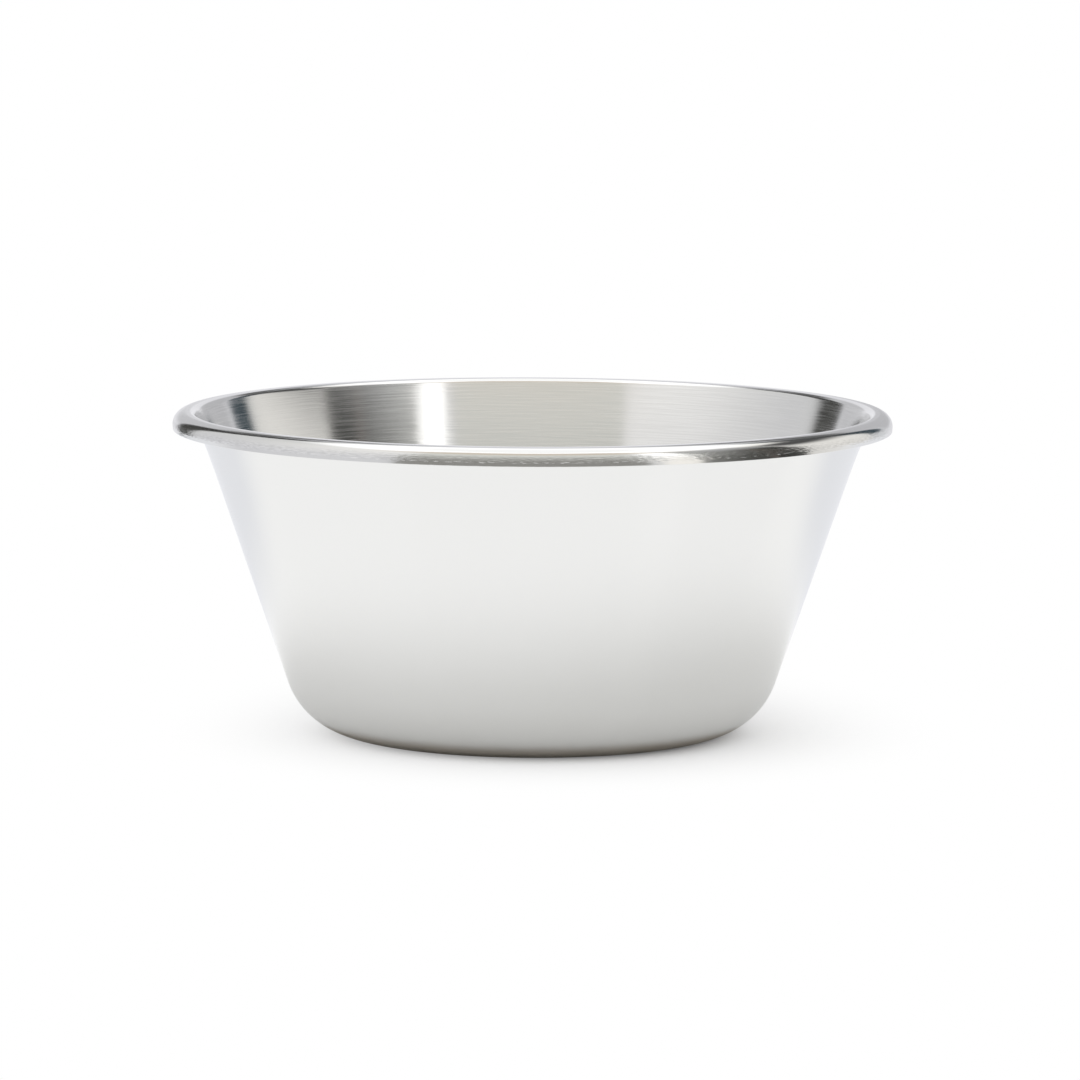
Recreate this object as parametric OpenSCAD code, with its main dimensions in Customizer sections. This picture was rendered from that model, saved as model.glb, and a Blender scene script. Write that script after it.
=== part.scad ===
// Flat-based pastry bowl: one pressed sheet of steel whose edge is curled out over a stiffening wire.
// Millimetres, +Z up, origin at the centre of the face that it rests on.

/* [Bowl] */
// Diameter across the lip
rim_d = 240; // [200:1:320]
// Height from the resting face to the top of the lip
bowl_h = 108; // [80:1:150]
// Diameter of the flat base
base_d = 115; // [80:1:130]
// Outside radius where the base turns up into the wall
corner_r = 25.5; // [12:0.5:35]
// Thickness of the sheet
sheet_t = 0.8; // [0.5:0.1:1.1]

/* [Lip] */
// Radius on the wet side where the wall bends out into the lip
crown_r = 2.3; // [2.2:0.1:4]
// Width of the flat run along the top of the lip
crown_flat = 2; // [1.5:0.1:3]
// Straight drop of the lip's outer face below its round shoulder
lip_drop = 0.9; // [0.8:0.1:1.5]
// Outside radius of the pressed fold at the foot of the lip
fold_r = 0.4; // [0.3:0.1:0.8]
// Fall of the lip's underside towards the wall, in degrees
lip_slope = 6; // [0:1:10]
// Gap between the wall and the cut edge of the curled sheet
seam_gap = 0.4; // [0.2:0.1:1]

/* [Stiffening wire] */
// Diameter of the wire inside the lip
wire_d = 4; // [3:0.1:5]
// Clearance between the wire and the sheet above and below it
wire_gap = 0.2; // [0.1:0.05:0.3]

/* [Hidden] */
steel = [0.80, 0.80, 0.79];
wire_steel = [0.62, 0.62, 0.63];

// Straight steps in each round stretch of the section
corner_steps = 16;
crown_steps = 12;
fold_steps = 6;

// The lip's round shoulder is as large as the wire, its clearance and the sheet on both sides leave it
wire_room = sheet_t + wire_gap + wire_d/2;
lip_need = wire_room*(1 + cos(lip_slope)) - fold_r*(1 - sin(lip_slope)) - lip_drop*cos(lip_slope);
lip_r = lip_need/(sin(lip_slope) + cos(lip_slope));

// Centres of the section's bends, as [radius, height]
crest_rad = rim_d/2 - lip_r;
corner_c = [base_d/2, corner_r];
crown_c = [crest_rad - crown_flat, bowl_h - crown_r];
lip_c = [crest_rad, bowl_h - lip_r];
fold_c = [rim_d/2 - fold_r, bowl_h - lip_r - lip_drop];
wire_c = [crest_rad, bowl_h - wire_room];

// The straight wall is tangent to the corner and to the crown, which curve opposite ways
span = crown_c - corner_c;
wall_lean = atan(span[0]/span[1]) - asin((corner_r + crown_r - sheet_t)/norm(span));
wall_out = [cos(wall_lean), -sin(wall_lean)];

// The underside of the lip runs in from the fold towards the wall
under_run = [-cos(lip_slope), -sin(lip_slope)];
under_out = [sin(lip_slope), -cos(lip_slope)];

// Points of an arc about c
function arc(c, r, from, to, steps) =
    [for (i = [0:steps]) let (a = from + (to - from)*i/steps) c + r*[cos(a), sin(a)]];

// The fold is round outside and sharp inside, where the offset lines of the sheet cross
fold_outside = arc(fold_c, fold_r, 0, lip_slope - 90, fold_steps);
fold_inside = [fold_c + ([1, 0] + under_out)*(fold_r - sheet_t)/(1 + under_out[0])];

// Where a line under the lip meets the line that the seam gap leaves beside the wall
function seam_end(start) =
    start + under_run*((corner_r + seam_gap - wall_out*(start - corner_c))/(wall_out*under_run));

// One face of the sheet from the axis to the cut edge: depth 0 is the dry face, sheet_t the wet face
function face(depth, fold) =
    let (roll = depth - sheet_t)
    concat(
        [[0, depth]],
        arc(corner_c, corner_r - depth, -90, -wall_lean, corner_steps),
        arc(crown_c, crown_r + roll, 180 - wall_lean, 90, crown_steps),
        arc(lip_c, lip_r + roll, 90, 0, crown_steps),
        fold,
        [seam_end(fold[len(fold) - 1])]
    );

function backwards(points) = [for (i = [len(points) - 1:-1:0]) points[i]];

module bowl_shell() {
    color(steel)
        rotate_extrude($fn = 180)
            polygon(concat(face(0, fold_inside), backwards(face(sheet_t, fold_outside))));
}

module rim_wire() {
    color(wire_steel)
        rotate_extrude($fn = 180)
            translate(wire_c)
                circle(d = wire_d, $fn = 48);
}

bowl_shell();
rim_wire();
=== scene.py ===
import bpy
import math
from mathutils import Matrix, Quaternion, Vector


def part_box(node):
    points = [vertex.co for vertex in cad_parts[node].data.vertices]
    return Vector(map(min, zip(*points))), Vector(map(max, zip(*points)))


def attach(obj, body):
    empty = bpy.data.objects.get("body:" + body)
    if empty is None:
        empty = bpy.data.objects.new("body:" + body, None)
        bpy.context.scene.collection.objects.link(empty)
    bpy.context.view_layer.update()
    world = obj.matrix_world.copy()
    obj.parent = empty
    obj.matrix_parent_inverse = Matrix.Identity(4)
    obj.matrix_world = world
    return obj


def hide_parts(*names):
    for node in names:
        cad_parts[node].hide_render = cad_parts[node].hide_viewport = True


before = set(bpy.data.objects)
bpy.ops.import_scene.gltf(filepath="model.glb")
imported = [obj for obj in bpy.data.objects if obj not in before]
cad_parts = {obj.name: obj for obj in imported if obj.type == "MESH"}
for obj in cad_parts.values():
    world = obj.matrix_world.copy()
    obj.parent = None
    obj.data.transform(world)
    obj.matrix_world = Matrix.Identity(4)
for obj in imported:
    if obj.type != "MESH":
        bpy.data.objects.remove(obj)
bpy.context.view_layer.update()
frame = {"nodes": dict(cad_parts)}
print("frame loaded:", ", ".join(frame["nodes"]))


# A shader socket that turns Python sums into Math nodes
class Value:
    def __init__(self, sheet, socket):
        self.sheet = sheet
        self.socket = socket

    def maths(self, operation, *others):
        return self.sheet.add("ShaderNodeMath", {"operation": operation}, [self, *others])

    def __add__(self, other):
        return self.maths("ADD", other)

    __radd__ = __add__

    def __sub__(self, other):
        return self.maths("SUBTRACT", other)

    def __rsub__(self, other):
        return self.sheet.add("ShaderNodeMath", {"operation": "SUBTRACT"}, [other, self])

    def __mul__(self, other):
        return self.maths("MULTIPLY", other)

    __rmul__ = __mul__

    def __truediv__(self, other):
        return self.maths("DIVIDE", other)

    def __abs__(self):
        return self.maths("ABSOLUTE")

    def __pow__(self, other):
        return self.maths("POWER", other)


# A node tree, filled by one method: a node's type, its settings and what its sockets get
class NodeSheet:
    def __init__(self, owner):
        owner.use_nodes = True
        self.tree = owner.node_tree
        self.tree.nodes.clear()

    def add(self, kind, settings=None, inputs=None, output=0):
        node = self.tree.nodes.new(kind)
        for name, setting in (settings or {}).items():
            setattr(node, name, setting)
        pairs = inputs.items() if isinstance(inputs, dict) else enumerate(inputs or [])
        for key, given in pairs:
            if isinstance(given, Value):
                self.tree.links.new(given.socket, node.inputs[key])
            else:
                node.inputs[key].default_value = given
        return Value(self, node.outputs[output]) if node.outputs else None

    def smooth(self, value, low, high):  # 0 below low, 1 above high, an S between
        settings = {"interpolation_type": "SMOOTHSTEP"}
        return self.add("ShaderNodeMapRange", settings, {"Value": value, "From Min": low, "From Max": high})

    def ramp(self, value, low, high):  # 0 below low, 1 above high, straight between
        return self.add("ShaderNodeMapRange", None, {"Value": value, "From Min": low, "From Max": high})

    def mixColour(self, factor, first, second):
        settings = {"data_type": "RGBA"}
        return self.add("ShaderNodeMix", settings, {0: factor, 6: first, 7: second}, output=2)

    def bump(self, depth, height):
        return self.add("ShaderNodeBump", None, {"Strength": 1.0, "Distance": depth, "Height": height})

    def metal(self, colour, roughness, others):
        inputs = {"Base Color": colour, "Metallic": 1.0, "Roughness": roughness, **others}
        return self.add("ShaderNodeBsdfPrincipled", None, inputs)

    def place(self):  # the three object coordinates
        coords = self.add("ShaderNodeTexCoord", output=3)
        split = self.add("ShaderNodeSeparateXYZ", None, [coords]).socket.node
        return [Value(self, socket) for socket in split.outputs]

    def mark(self, name):  # a number kept on the mesh
        return self.add("ShaderNodeAttribute", {"attribute_name": name}, output=2)


def grey(level):
    return (level, level, level, 1)


# The lathe profile of the pressed sheet, in metres; the rim and the height come from the frame
shellSize = {
    "baseRadius": 0.0575,
    "cornerRadius": 0.0255,
    "thickness": 0.0008,
    "flare": math.radians(4),  # the wall leans out by this much more just below the lip
    "flareLength": 0.023,
    "crownRadius": 0.0023,  # the turn from the wall into the top of the lip
    "crownFlat": 0.0012,
    "lipRadius": 0.0043,  # the lip's round shoulder
    "lipDrop": 0.0012,  # the lip's face below the shoulder
    "lipTuck": math.radians(4),  # how far the foot of that face draws in
    "foldRadius": 0.0001,
    "lipSlope": math.radians(6),  # how far the lip's underside falls towards the wall
    "seamGap": 0.001,
    "turnSteps": 288,
    "baseRings": 24,
    "cornerSteps": 32,
    "wallSteps": 32,
    "flareSteps": 12,
    "crownSteps": 20,
    "lipSteps": 32,
    "foldSteps": 8,
    "flatSteps": 4,
    "grainFrom": math.radians(28),  # the lip turns grainy below this tilt
    "grainFull": math.radians(16),
    "footGrain": 0.15,
    "sharpEdge": math.radians(50),
    "onAxis": 1e-6,  # a row nearer the axis than this is a single point
}


def arc(centre, radius, start, end, steps):
    points = []
    for step in range(steps + 1):
        angle = start + (end - start) * step / steps
        points.append(centre + radius * Vector((math.cos(angle), math.sin(angle))))
    return points


def line(start, end, steps):
    return [start.lerp(end, step / steps) for step in range(steps + 1)]


# One face of the sheet from the axis to the cut edge: depth 0 is the dry face, the full thickness the wet
# one. Each row is a point (radius, height), its stretch, and how grainy the sheet is there.
def sheetFace(size, rimRadius, height, depth):
    slope = size["lipSlope"]
    thick = size["thickness"]
    fold = size["foldRadius"]
    tuck = size["lipTuck"]
    crest = rimRadius - size["lipRadius"]
    cornerCentre = Vector((size["baseRadius"], size["cornerRadius"]))
    crownCentre = Vector((crest - size["crownFlat"], height - size["crownRadius"]))
    lipCentre = Vector((crest, height - size["lipRadius"]))
    faceOut = Vector((math.cos(tuck), -math.sin(tuck)))
    faceRun = Vector((-math.sin(tuck), -math.cos(tuck)))
    foldCentre = lipCentre + faceOut * (size["lipRadius"] - fold) + faceRun * size["lipDrop"]
    # the wall leans so that it meets the corner, the flare and the crown without a kink
    span = crownCentre - cornerCentre
    flareRadius = size["flareLength"] / size["flare"]
    crownToFlare = size["crownRadius"] - thick - flareRadius
    bends = size["cornerRadius"] + flareRadius + crownToFlare * math.cos(size["flare"])
    lean = math.atan2(span.x, span.y) - math.asin(bends / span.length)
    turned = lean + size["flare"]
    flareCentre = crownCentre + Vector((-math.cos(turned), math.sin(turned))) * crownToFlare
    wallOut = Vector((math.cos(lean), -math.sin(lean)))
    underRun = Vector((-math.cos(slope), -math.sin(slope)))
    underOut = Vector((math.sin(slope), -math.cos(slope)))
    roll = depth - thick
    quarter = math.pi / 2
    flareStart = math.pi - lean
    flareEnd = math.pi - turned
    corner = arc(cornerCentre, size["cornerRadius"] - depth, -quarter, -lean, size["cornerSteps"])
    flared = arc(flareCentre, flareRadius + depth, flareStart, flareEnd, size["flareSteps"])
    crown = arc(crownCentre, size["crownRadius"] + roll, flareEnd, quarter, size["crownSteps"])
    lip = arc(lipCentre, size["lipRadius"] + roll, quarter, -tuck, size["lipSteps"])
    if depth:
        bend = arc(foldCentre, fold, -tuck, slope - quarter, size["foldSteps"])
    else:  # inside the fold the dry face has a plain corner
        bend = [foldCentre + (faceOut + underOut) * (fold - thick) / (1 + faceOut.dot(underOut))]
    toSeam = size["cornerRadius"] + size["seamGap"] - wallOut.dot(bend[-1] - cornerCentre)
    seam = bend[-1] + underRun * (toSeam / wallOut.dot(underRun))
    flat = size["flatSteps"]
    stretches = [
        ("base", line(Vector((0, depth)), corner[0], size["baseRings"])),
        ("corner", corner),
        ("wall", line(corner[-1], flared[0], size["wallSteps"])),
        ("wall", flared),
        ("crown", crown),
        ("top", line(crown[-1], lip[0], flat)),
        ("lip", lip),
        ("foot", line(lip[-1], bend[0], flat)),
        ("foot", bend),
        ("foot", line(bend[-1], seam, flat)),
    ]
    rows = []
    for name, points in stretches:
        for index, point in enumerate(points):
            if rows and index == 0:  # a stretch starts where the one before it ends
                continue
            grain = 0
            if name == "lip":
                tilt = quarter - (quarter + tuck) * index / size["lipSteps"]
                grain = (size["grainFrom"] - tilt) / (size["grainFrom"] - size["grainFull"])
                grain = min(1, max(0, grain))
            elif name == "foot":
                grain = size["footGrain"]
            rows.append((point, name, grain))
    return rows


# Marks for the finish: the lip, its grain, the wet side, and the distance along the sheet from the axis
def markShell(mesh, size, rows, dryRows):
    marks = {"lip": [], "grain": [], "wet": [], "run": []}
    run = 0
    for index, (point, name, grain) in enumerate(rows):
        count = 1 if point.x < size["onAxis"] else size["turnSteps"]
        if index:
            step = (point - rows[index - 1][0]).length
            run += step if index < dryRows else -step
        marks["lip"] += [0 if name in ("base", "corner", "wall") else 1] * count
        marks["grain"] += [grain] * count
        marks["wet"] += [1 if index >= dryRows else 0] * count
        marks["run"] += [run] * count
    for name, values in marks.items():
        mesh.attributes.new(name, "FLOAT", "POINT").data.foreach_set("value", values)


def makeShell(size):
    low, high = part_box("bowl_shell")
    rimRadius = min(-low.x, high.x, -low.y, high.y)
    dry = sheetFace(size, rimRadius, high.z, 0)
    wet = sheetFace(size, rimRadius, high.z, size["thickness"])
    rows = dry + wet[::-1]
    turns = size["turnSteps"]
    verts = []
    starts = []
    for point in [row[0] for row in rows]:
        starts.append(len(verts))
        if point.x < size["onAxis"]:
            verts.append((0, 0, point.y))
            continue
        for turn in range(turns):
            angle = math.tau * turn / turns
            verts.append((point.x * math.cos(angle), point.x * math.sin(angle), point.y))
    faces = []
    last = len(rows) - 1
    for row in range(last):
        here, there = starts[row], starts[row + 1]
        for turn in range(turns):
            after = (turn + 1) % turns
            if row == 0:
                faces.append((here, there + after, there + turn))
            elif row == last - 1:
                faces.append((here + turn, here + after, there))
            else:
                faces.append((here + turn, here + after, there + after, there + turn))
    mesh = bpy.data.meshes.new("pressedShell")
    mesh.from_pydata(verts, [], faces)
    mesh.shade_smooth()
    mesh.set_sharp_from_angle(angle=size["sharpEdge"])
    markShell(mesh, size, rows, len(dry))
    piece = bpy.data.objects.new("pressedShell", mesh)
    bpy.context.collection.objects.link(piece)
    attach(piece, "root")
    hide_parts("bowl_shell")
    return piece


# The wet side is brushed round the axis, the dry side almost polished, the lip bright with a grainy face
brushedFinish = {
    "bright": (0.905, 0.905, 0.895, 1),
    "dull": (0.835, 0.835, 0.825, 1),
    "dryRoughness": 0.14,
    "wetRoughness": 0.16,
    "roughnessSpread": 0.16,
    "strokeTurn": 6.0,  # how fast a stroke fades round the axis
    "strokeRise": 2300.0,  # strokes to a metre along the sheet
    "strokeDetail": 0.4,
    "strokeSpan": 0.2,  # a stroke this strong has the full bright or dull colour
    "strokeDepth": 0.000012,
    "dryStrokes": 0.03,  # share of the strokes that is left on the dry side
    "anisotropy": 1.0,
    "acrossStrokes": 0.25,  # a quarter turn, so that the gloss spreads across the strokes
    "lipBright": (0.93, 0.93, 0.92, 1),
    "lipDull": (0.81, 0.81, 0.80, 1),
    "lipRoughness": 0.12,
    "grainTurn": 55.0,
    "grainRise": 3000.0,
    "grainDetail": 0.3,
    "grainSpan": 0.25,
    "grainDepth": 0.00007,
    "grainRoughness": 0.06,
    "grainSpread": 0.1,
    "noiseRoughness": 0.65,
    "axisGuard": 0.00001,  # added to the radius, so that nothing is divided by 0 on the axis
}


def brushedSteel(finish):
    material = bpy.data.materials.new("brushedSteel")
    sheet = NodeSheet(material)
    x, y = sheet.place()[:2]
    run = sheet.mark("run")
    lip = sheet.mark("lip")
    wet = sheet.mark("wet")
    grain = sheet.mark("grain")
    radius = (x * x + y * y) ** 0.5 + finish["axisGuard"]

    def wound(turn, rise, detail):  # noise about 0, drawn out round the axis
        spot = sheet.add("ShaderNodeCombineXYZ", None, [x / radius * turn, y / radius * turn, run * rise])
        inputs = {"Vector": spot, "Scale": 1.0, "Detail": detail, "Roughness": finish["noiseRoughness"]}
        return sheet.add("ShaderNodeTexNoise", None, inputs) - 0.5

    depth = finish["dryStrokes"] + wet * (1 - finish["dryStrokes"])
    strokes = wound(finish["strokeTurn"], finish["strokeRise"], finish["strokeDetail"]) * depth
    shine = sheet.ramp(strokes, -finish["strokeSpan"], finish["strokeSpan"])
    colour = sheet.mixColour(shine, finish["dull"], finish["bright"])
    plain = finish["dryRoughness"] + wet * (finish["wetRoughness"] - finish["dryRoughness"])
    brushing = {
        "Normal": sheet.bump(finish["strokeDepth"], strokes),
        "Anisotropic": finish["anisotropy"],
        "Anisotropic Rotation": finish["acrossStrokes"],
    }
    wall = sheet.metal(colour, plain + strokes * finish["roughnessSpread"], brushing)

    peel = wound(finish["grainTurn"], finish["grainRise"], finish["grainDetail"]) * grain
    shine = sheet.ramp(peel, -finish["grainSpan"], finish["grainSpan"])
    colour = sheet.mixColour(shine, finish["lipDull"], finish["lipBright"])
    roughness = finish["lipRoughness"] + grain * finish["grainRoughness"] + peel * finish["grainSpread"]
    rolled = sheet.metal(colour, roughness, {"Normal": sheet.bump(finish["grainDepth"], peel)})
    both = sheet.add("ShaderNodeMixShader", None, [lip, wall, rolled])
    sheet.add("ShaderNodeOutputMaterial", None, {"Surface": both})
    return material


wireFinish = {
    "dull": (0.50, 0.50, 0.51, 1),
    "bright": (0.62, 0.62, 0.63, 1),
    "roughness": 0.35,
    "roughnessSpread": 0.1,
    "drawnScale": 400.0,
    "drawnDetail": 3.0,
}


def wireSteel(finish):
    material = bpy.data.materials.new("wireSteel")
    sheet = NodeSheet(material)
    coords = sheet.add("ShaderNodeTexCoord", output=3)
    inputs = {"Vector": coords, "Scale": finish["drawnScale"], "Detail": finish["drawnDetail"]}
    drawn = sheet.add("ShaderNodeTexNoise", None, inputs)
    colour = sheet.mixColour(drawn, finish["dull"], finish["bright"])
    roughness = finish["roughness"] + (drawn - 0.5) * finish["roughnessSpread"]
    sheet.add("ShaderNodeOutputMaterial", None, {"Surface": sheet.metal(colour, roughness, {})})
    return material


def lightPath(sheet):  # 1 for camera rays; 1 for rays that show the backdrop in metal or glass
    path = sheet.add("ShaderNodeLightPath").socket.node
    camera = Value(sheet, path.outputs["Is Camera Ray"])
    glossy = Value(sheet, path.outputs["Is Glossy Ray"])
    through = Value(sheet, path.outputs["Is Transmission Ray"])
    return camera, (glossy + through).maths("MINIMUM", 1.0)


def stagePiece(name, verts, faces, material):
    mesh = bpy.data.meshes.new(name)
    mesh.from_pydata(verts, [], faces)
    mesh.materials.append(material)
    piece = bpy.data.objects.new(name, mesh)
    bpy.context.collection.objects.link(piece)
    return piece


# The studio that the steel mirrors: a round of walls and cards about the bowl, with bands across them. Each
# stands at a bearing in degrees, 0 on the camera's side and positive to the right, with half its width and
# the softness of its edges. A wall then has its colours at the foot and at the top, which blend between the
# heights low and high. A band has the heights between which it comes in, those between which it goes out,
# and its colour. Later ones stand in front of earlier ones. Lengths are in metres.
studio = {
    "radius": 0.8,
    "height": 2.6,
    "sides": 96,
    "low": 0.05,
    "high": 0.80,
    "backdrop": grey(0.75),  # shows only where no wall stands
    "walls": {
        "backWall": (180, 45, 1, (0.88, 0.88, 0.91, 1), (0.66, 0.66, 0.70, 1)),
        "leftCorner": (-155, 12, 5, (0.82, 0.82, 0.85, 1), (0.47, 0.47, 0.49, 1)),
        "rightCorner": (155, 12, 5, (0.77, 0.77, 0.80, 1), (0.47, 0.47, 0.49, 1)),
        "paleWall": (-85, 43.5, 14, (0.64, 0.64, 0.67, 1), (0.70, 0.70, 0.695, 1)),
        "brightWall": (-57, 36, 30, (0.70, 0.70, 0.72, 1), (0.91, 0.90, 0.885, 1)),
        "roomBehind": (-3, 36.5, 1.0, (0.28, 0.275, 0.26, 1), (0.745, 0.75, 0.715, 1)),
        "greyCard": (68, 19, 2, (0.085, 0.085, 0.08, 1), (0.27, 0.27, 0.26, 1)),
        "greyEdge": (51, 8, 8, (0.20, 0.20, 0.19, 1), (0.52, 0.52, 0.50, 1)),
        "softbox": (43.7, 6.0, 0.8, (1.02, 0.99, 0.94, 1), grey(1.6)),
        "blackCard": (84, 13, 8, (0.04, 0.04, 0.037, 1), (0.045, 0.045, 0.042, 1)),
        "cardEdge": (75.5, 1.0, 0.6, (0.15, 0.125, 0.11, 1), (0.20, 0.165, 0.145, 1)),
        "warmWall": (108, 18.3, 0.7, (0.78, 0.765, 0.74, 1), (0.93, 0.91, 0.875, 1)),
        "warmGlow": (118, 13, 11, (0.74, 0.725, 0.70, 1), (1.0, 0.98, 0.94, 1)),
        "blueFlag": (136.6, 5.9, 1.5, (0.05, 0.075, 0.09, 1), (0.035, 0.045, 0.055, 1)),
        "darkFlag": (-139.2, 8.0, 2.0, (0.06, 0.06, 0.055, 1), (0.04, 0.04, 0.04, 1)),
    },
    "bands": {
        "boom": (118, 27, 10, (0.39, 0.70), (0.86, 1.06), grey(0.08)),
        "cardTop": (70, 20, 6, (0.50, 0.95), (1.2, 1.4), grey(0.45)),
        "leftShade": (-159.5, 10.5, 3, (0.12, 0.24), (0.45, 0.62), (0.57, 0.57, 0.59, 1)),
        "rightShade": (157.5, 12.5, 3, (0.08, 0.18), (0.45, 0.62), (0.51, 0.51, 0.53, 1)),
        "blueFoot": (137, 8, 3, (-0.2, -0.1), (0.14, 0.24), (0.62, 0.63, 0.65, 1)),
        "leftGap": (-156, 15, 6, (0.50, 0.62), (0.72, 0.86), grey(0.13)),
        "rightGap": (156, 15, 6, (0.50, 0.62), (0.72, 0.86), grey(0.13)),
        "drape": (0, 55, 20, (0.80, 1.10), (1.55, 2.15), (0.66, 0.59, 0.50, 1)),
    },
    "overhead": grey(1.26),
    "overheadFront": (1.45, 2.0),  # the heights between which the walls turn into the light overhead
    "overheadSides": (0.95, 1.35),
    "frontHalf": (30, 60),  # the bearings between which the front turns into the sides
    "zenith": grey(1.07),  # what the steel mirrors through the open top
    "dome": grey(1.0),  # what lights the floor
    "white": grey(1.0),  # what the camera sees
}


def bearingOf(x, y):  # the angle round the bowl, 0 on the camera's side and positive to the right
    return x.maths("ARCTAN2", y * -1.0)


def frontShare(sheet, bearing, edges):  # 1 on the camera's side, 0 behind the bowl, soft between the edges
    near, far = edges
    return 1 - sheet.smooth(abs(bearing), math.radians(near), math.radians(far))


def beside(sheet, bearing, middle, half, soft):  # 1 within half of the middle bearing, with soft edges
    off = abs(bearing - math.radians(middle))
    off = off.maths("MINIMUM", math.tau - off)
    return 1 - sheet.smooth(off, math.radians(half - soft), math.radians(half + soft))


def surroundings(sheet, plan, bearing, up=None):  # the walls by bearing, at their foot or by height
    colour = plan["backdrop"]
    for middle, half, soft, foot, top in plan["walls"].values():
        face = foot if up is None else sheet.mixColour(up, foot, top)
        colour = sheet.mixColour(beside(sheet, bearing, middle, half, soft), colour, face)
    return colour


# The floor turns from its own shaded colour to plain white away from the bowl. In the steel its colour
# carries painted shade, a little darker all over, with a warm painted shadow under the bowl; there it turns
# white later, is greyer behind the bowl, and goes over into the foot of the walls in front. Lengths are in
# metres from the bowl's axis, and each pair of From and To is a soft edge.
floorLook = {
    "half": 12.0,
    "drop": 0.0001,  # how far the floor lies under the base
    "colour": grey(0.93),
    "white": grey(1.0),
    "shadeCentre": 0.008,  # the shade lies a little to the right
    "shadeFrom": 0.05,
    "shadeTo": 0.1375,
    "shadeCurve": 2.2,
    "shadeDeep": 0.70,  # distances behind the bowl count this much, so the shade reaches further there
    # painted shade: the floor's colour as the steel shows it, a little darker than the camera sees it
    "paintedSteelShade": (0.87, 0.87, 0.86, 1),
    "steelCentre": (0.010, 0.020),
    "steelFrom": 0.114,
    "steelTo": 0.194,
    # a painted shadow in the steel, warm and dark, close round the bowl's foot
    "paintedUnderShadow": (0.57, 0.53, 0.48, 1),
    "paintedShadowFrom": 0.067,
    "paintedShadowTo": 0.0735,
    "backWhite": (0.84, 0.85, 0.885, 1),
    "backFrom": 0.14,
    "backTo": 0.30,
    "footFrom": 0.31,
    "footTo": 0.42,
    "footHalf": (95, 120),  # the bearings between which the front turns into the back
}


def makeFloor(look, plan):
    material = bpy.data.materials.new("paleFloor")
    sheet = NodeSheet(material)
    x, y = sheet.place()[:2]
    camera, mirrored = lightPath(sheet)

    def away(across, along):
        return (across * across + along * along) ** 0.5

    deep = y.maths("MAXIMUM", 0.0) * look["shadeDeep"] + y.maths("MINIMUM", 0.0)
    shaded = 1 - sheet.ramp(away(x - look["shadeCentre"], deep), look["shadeFrom"], look["shadeTo"])
    inView = 1 - shaded ** look["shadeCurve"]
    aside, behind = look["steelCentre"]
    inSteel = sheet.smooth(away(x - aside, y - behind), look["steelFrom"], look["steelTo"])
    radius = away(x, y)
    # painted shade in the steel: a warm painted shadow close round the foot, on a floor colour painted a
    # little darker
    under = 1 - sheet.smooth(radius, look["paintedShadowFrom"], look["paintedShadowTo"])
    colour = sheet.mixColour(under, look["paintedSteelShade"], look["paintedUnderShadow"])
    colour = sheet.mixColour(mirrored, look["colour"], colour)
    lit = sheet.add("ShaderNodeBsdfDiffuse", None, {"Color": colour})
    bearing = bearingOf(x, y)
    front = frontShare(sheet, bearing, look["footHalf"])
    back = (1 - front) * sheet.smooth(radius, look["backFrom"], look["backTo"])
    white = sheet.mixColour(back * mirrored, look["white"], look["backWhite"])
    far = front * sheet.smooth(radius, look["footFrom"], look["footTo"])
    white = sheet.mixColour(far * mirrored, white, surroundings(sheet, plan, bearing))
    plain = sheet.add("ShaderNodeEmission", None, {"Color": white, "Strength": 1.0})
    both = sheet.add("ShaderNodeMixShader", None, [inView * camera + inSteel * mirrored, lit, plain])
    sheet.add("ShaderNodeOutputMaterial", None, {"Surface": both})
    material.cycles.emission_sampling = "NONE"
    half, level = look["half"], -look["drop"]
    corners = [(-half, -half, level), (half, -half, level), (half, half, level), (-half, half, level)]
    stagePiece("floor", corners, [(0, 1, 2, 3)], material)


# The walls show only in the steel: the camera and the floor don't see them, and they cast no shadow
def makeStudio(plan):
    material = bpy.data.materials.new("studioWalls")
    sheet = NodeSheet(material)
    x, y, z = sheet.place()
    bearing = bearingOf(x, y)
    colour = surroundings(sheet, plan, bearing, sheet.ramp(z, plan["low"], plan["high"]))
    for middle, half, soft, comesIn, goesOut, tint in plan["bands"].values():
        band = sheet.smooth(z, *comesIn) - sheet.smooth(z, *goesOut)
        colour = sheet.mixColour(band * beside(sheet, bearing, middle, half, soft), colour, tint)
    front = frontShare(sheet, bearing, plan["frontHalf"])
    heights = zip(plan["overheadSides"], plan["overheadFront"])
    edges = [side + front * (ahead - side) for side, ahead in heights]
    colour = sheet.mixColour(sheet.smooth(z, *edges), colour, plan["overhead"])
    glow = sheet.add("ShaderNodeEmission", None, {"Color": colour, "Strength": 1.0})
    sheet.add("ShaderNodeOutputMaterial", None, {"Surface": glow})
    material.cycles.emission_sampling = "NONE"
    sides = plan["sides"]
    verts = []
    for level in (0, plan["height"]):
        for side in range(sides):
            angle = math.tau * side / sides
            verts.append((plan["radius"] * math.cos(angle), plan["radius"] * math.sin(angle), level))
    faces = []
    for side in range(sides):
        after = (side + 1) % sides
        faces.append((side, after, sides + after, sides + side))
    walls = stagePiece("studioWalls", verts, faces, material)
    walls.visible_camera = False
    walls.visible_diffuse = False
    walls.visible_shadow = False


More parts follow.
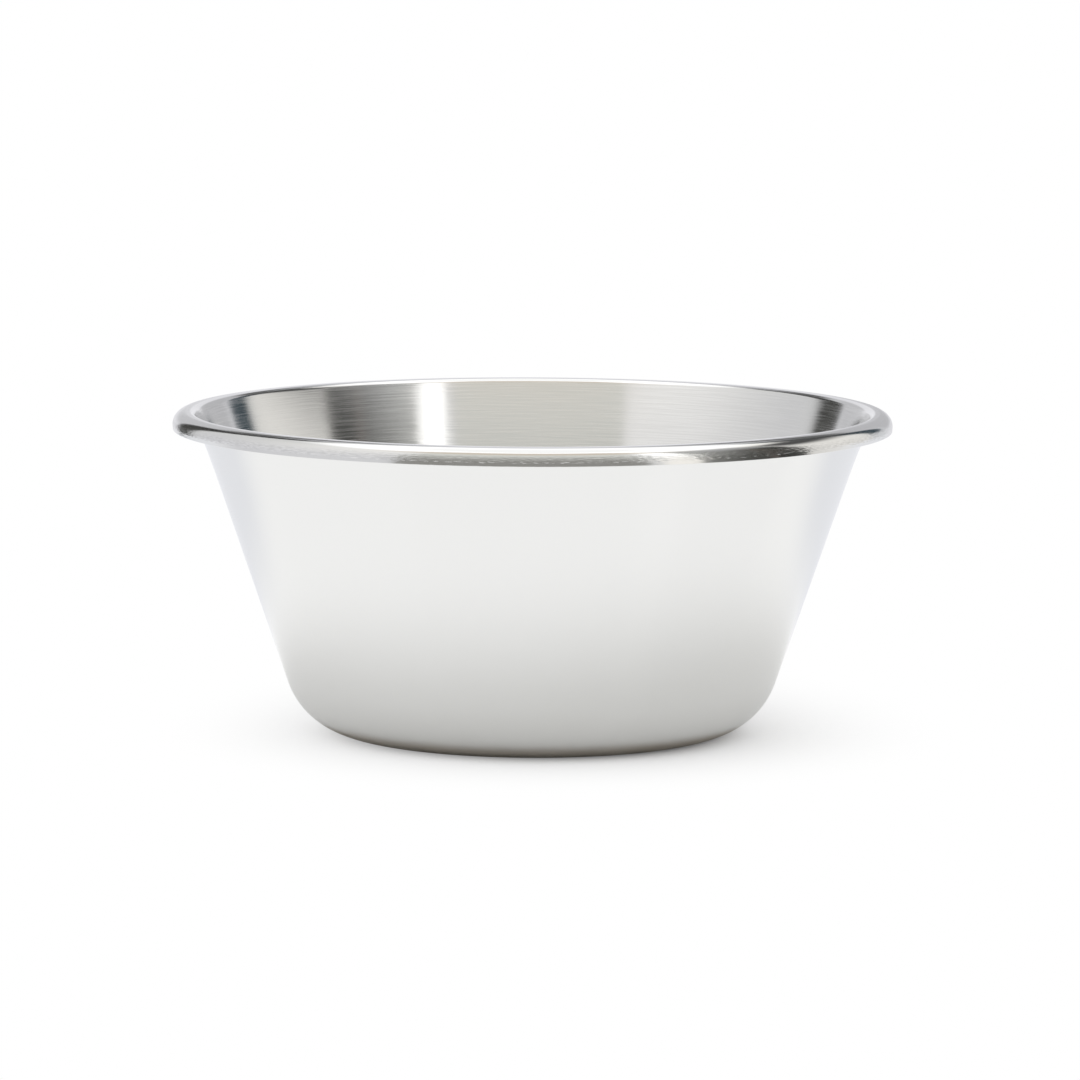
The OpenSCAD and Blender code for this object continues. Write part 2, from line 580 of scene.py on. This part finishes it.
def makeSky(plan):
    world = bpy.data.worlds.new("studioLight")
    bpy.context.scene.world = world
    sheet = NodeSheet(world)
    camera, mirrored = lightPath(sheet)
    seen = sheet.mixColour(mirrored, plan["dome"], plan["zenith"])
    seen = sheet.mixColour(camera, seen, plan["white"])
    light = sheet.add("ShaderNodeBackground", None, {"Color": seen, "Strength": 1.0})
    sheet.add("ShaderNodeOutputWorld", None, {"Surface": light})
    world.cycles.sampling_method = "NONE"


# The photograph's camera: a long lens a little above the lip
photoView = {
    "distance": 2.15,
    "elevation": math.radians(7.17),
    "axisHeight": 0.055,
    "axisPixel": (532.1, 568.0),  # where the axis at that height falls in the picture
    "pictureSide": 1080,
    "focalPixels": 6425,
    "sensor": 36.0,
    "roll": math.radians(0.25),
}


def makeCamera(view):
    rise = view["elevation"]
    distance = view["distance"]
    axisPoint = Vector((0, 0, view["axisHeight"]))
    eye = axisPoint + Vector((0, -math.cos(rise), math.sin(rise))) * distance
    middle = view["pictureSide"] / 2
    toMetres = distance / view["focalPixels"]
    right = Vector((1, 0, 0)) * (middle - view["axisPixel"][0]) * toMetres
    up = Vector((0, math.sin(rise), math.cos(rise))) * (view["axisPixel"][1] - middle) * toMetres
    data = bpy.data.cameras.new("photoCamera")
    data.sensor_width = view["sensor"]
    data.lens = view["focalPixels"] / view["pictureSide"] * view["sensor"]
    camera = bpy.data.objects.new("photoCamera", data)
    camera.location = eye
    camera.rotation_mode = "QUATERNION"
    looking = (axisPoint + right + up - eye).to_track_quat("-Z", "Y")
    camera.rotation_quaternion = looking @ Quaternion((0, 0, 1), view["roll"])
    bpy.context.collection.objects.link(camera)
    bpy.context.scene.camera = camera


bpy.context.scene.view_settings.view_transform = "Standard"
makeCamera(photoView)
makeFloor(floorLook, studio)
makeStudio(studio)
makeSky(studio)
print("camera, floor, studio and sky in place")

shell = makeShell(shellSize)
shell.data.materials.append(brushedSteel(brushedFinish))
print("shell turned:", len(shell.data.polygons), "faces")

wire = frame["nodes"]["rim_wire"]
wireMaterial = wireSteel(wireFinish)
if not wire.material_slots:
    wire.data.materials.append(wireMaterial)
for slot in wire.material_slots:
    slot.material = wireMaterial
print("wire finished")
